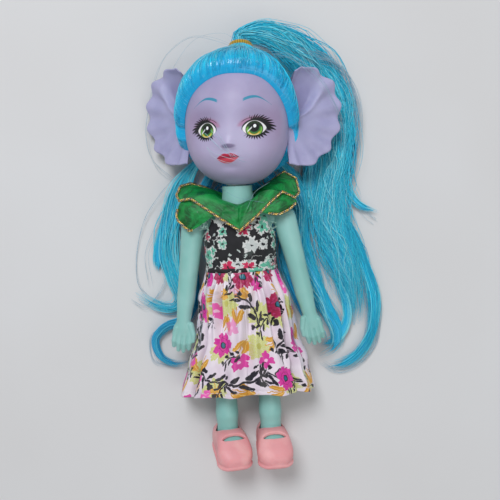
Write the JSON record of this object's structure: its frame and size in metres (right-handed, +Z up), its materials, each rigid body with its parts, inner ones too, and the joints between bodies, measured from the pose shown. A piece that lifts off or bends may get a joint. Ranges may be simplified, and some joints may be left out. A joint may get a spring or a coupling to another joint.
{
  "type": "fashion doll",
  "caption": "Small jointed fashion doll lying on its back, with fan-shaped ears, long blue hair, a floral dress with a pointed collar, and strap shoes.",
  "frame": {"origin": "on the ground plane under the hip pin, at the middle of the flat of the skirt that lies on it", "axes": "+Y along the doll from the feet to the crown, +Z up, out of the face and chest, +X to the right as seen from the front"},
  "size_m": [0.0957, 0.1616, 0.0389],
  "materials": {
    "lavender_vinyl": "soft moulded vinyl, satin",
    "mint_plastic": "moulded plastic, satin",
    "hair_fibre": "combed synthetic fibre, glossy along the strands",
    "tie_elastic": "thin elastic band, mustard",
    "bodice_print": "printed polyester, dark ground with small flowers",
    "skirt_print": "printed satin, pale ground with flowers",
    "green_organza": "sheer crisp organza",
    "gold_braid": "twisted metallic thread",
    "shoe_vinyl": "soft moulded vinyl, satin",
    "pin_steel": "plain steel wire",
    "white_nylon": "hook and loop tape"
  },
  "bodies": {
    "torso": {"torso_front_shell": "mint_plastic", "torso_back_shell": "mint_plastic", "neck_knob": "mint_plastic", "hip_axle": "pin_steel", "bodice": "bodice_print", "skirt": "skirt_print", "collar": "green_organza", "collar_braid": "gold_braid", "fastener_hook_strip": "white_nylon", "fastener_loop_strip": "white_nylon"},
    "head": {"head_shell": "lavender_vinyl", "ear_right": "lavender_vinyl", "ear_left": "lavender_vinyl", "hair_cap": "hair_fibre", "hair_tie": "tie_elastic", "ponytail": "hair_fibre", "lock_right_outer": "hair_fibre", "lock_right_inner": "hair_fibre", "lock_left_outer": "hair_fibre", "lock_left_inner": "hair_fibre", "back_hair": "hair_fibre"},
    "right_arm": {"arm_right": "mint_plastic"},
    "left_arm": {"arm_left": "mint_plastic"},
    "right_leg": {"leg_right": "mint_plastic", "shoe_right": "shoe_vinyl"},
    "left_leg": {"leg_left": "mint_plastic", "shoe_left": "shoe_vinyl"}
  },
  "joints": [
    {"name": "neck_turn", "type": "hinge", "parent": "torso", "child": "head", "pos_m": [0, 0.05013, 0.01862], "axis": [0.061, 0.9927, 0.1036], "range_deg": [-68, 92], "deforming": ["ponytail", "lock_right_outer", "lock_right_inner", "lock_left_outer", "lock_left_inner", "back_hair", "collar", "collar_braid"]},
    {"name": "right_shoulder", "type": "hinge", "parent": "torso", "child": "right_arm", "pos_m": [0.0165, 0.0374, 0.0173], "axis": [-1, 0, 0], "range_deg": [-40, 110], "deforming": ["lock_right_outer", "lock_right_inner", "ponytail", "collar", "collar_braid"]},
    {"name": "left_shoulder", "type": "hinge", "parent": "torso", "child": "left_arm", "pos_m": [-0.0165, 0.0374, 0.0173], "axis": [-1, 0, 0], "range_deg": [-40, 110], "deforming": ["lock_left_outer", "lock_left_inner", "collar", "collar_braid"]},
    {"name": "right_hip", "type": "hinge", "parent": "torso", "child": "right_leg", "pos_m": [0.008, 0, 0.01339], "axis": [-1, 0, 0], "range_deg": [-20, 90], "deforming": ["skirt"]},
    {"name": "left_hip", "type": "hinge", "parent": "torso", "child": "left_leg", "pos_m": [-0.008, 0, 0.01339], "axis": [-1, 0, 0], "range_deg": [-20, 90], "deforming": ["skirt"]}
  ]
}
